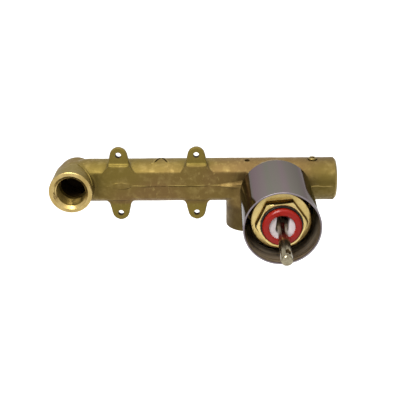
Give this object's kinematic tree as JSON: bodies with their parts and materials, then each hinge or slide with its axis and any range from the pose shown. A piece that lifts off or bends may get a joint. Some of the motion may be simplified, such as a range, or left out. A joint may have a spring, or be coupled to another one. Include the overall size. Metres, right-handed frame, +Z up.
{
  "type": "concealed manual shower valve",
  "caption": "Concealed single-lever mixing valve: a cast brass body with screw-on lugs, threaded inlets and outlet, and a ceramic disc cartridge inside a round sleeve.",
  "frame": {"origin": "centre of the rectangle of the four lug holes, on the plane of the lugs' rear faces", "axes": "+Z up, -Y out of the wall into the room, +X along the bar from the outlet towards the cartridge"},
  "size_m": [0.1843, 0.1328, 0.057],
  "materials": {
    "cast_brass": "sand cast and tumbled, dull olive brown",
    "turned_brass": "bright machined brass",
    "gunmetal": "dark mirror plating",
    "red_plastic": "glossy moulded plastic",
    "white_plastic": "satin moulded plastic",
    "black_plastic": "satin moulded plastic",
    "ceramic": "lapped white alumina",
    "rubber": "smooth black rubber",
    "nickel": "bright nickel plating, a little warm"
  },
  "bodies": {
    "valve": {"valve_body": "cast_brass", "gallery_plug": "turned_brass", "service_plug": "turned_brass", "cover_sleeve": "gunmetal", "sleeve_o_ring_front": "rubber", "sleeve_o_ring_rear": "rubber", "retaining_nut": "turned_brass", "nut_slip_washer": "white_plastic", "cartridge_housing": "black_plastic", "cartridge_base": "white_plastic", "hot_port_seal": "rubber", "cold_port_seal": "rubber", "outlet_port_seal": "rubber", "disc_gasket": "rubber", "fixed_disc": "ceramic"},
    "guide": {"stem_guide": "white_plastic", "guide_o_ring": "rubber", "limit_ring": "red_plastic", "pivot_pin": "nickel"},
    "disc": {"moving_disc": "ceramic", "disc_carrier": "white_plastic"},
    "lever": {"lever": "nickel"}
  },
  "joints": [
    {"name": "temperature_turn", "type": "hinge", "parent": "valve", "child": "guide", "pos_m": [0.075, -0.061, 0], "axis": [0, -1, 0], "range_deg": [-39, 51]},
    {"name": "flow_tilt", "type": "hinge", "parent": "guide", "child": "lever", "pos_m": [0.075, -0.061, 0], "axis": [-0.9945, 0, 0.1045], "range_deg": [0, 20]},
    {"name": "disc_slide", "type": "slide", "parent": "guide", "child": "disc", "axis": [-0.1045, 0, -0.9945], "range_m": [0, 0.0052]}
  ],
  "couplings": [
    {"joint": "disc_slide", "follows": "flow_tilt", "m_per_rad": 0.014825}
  ]
}
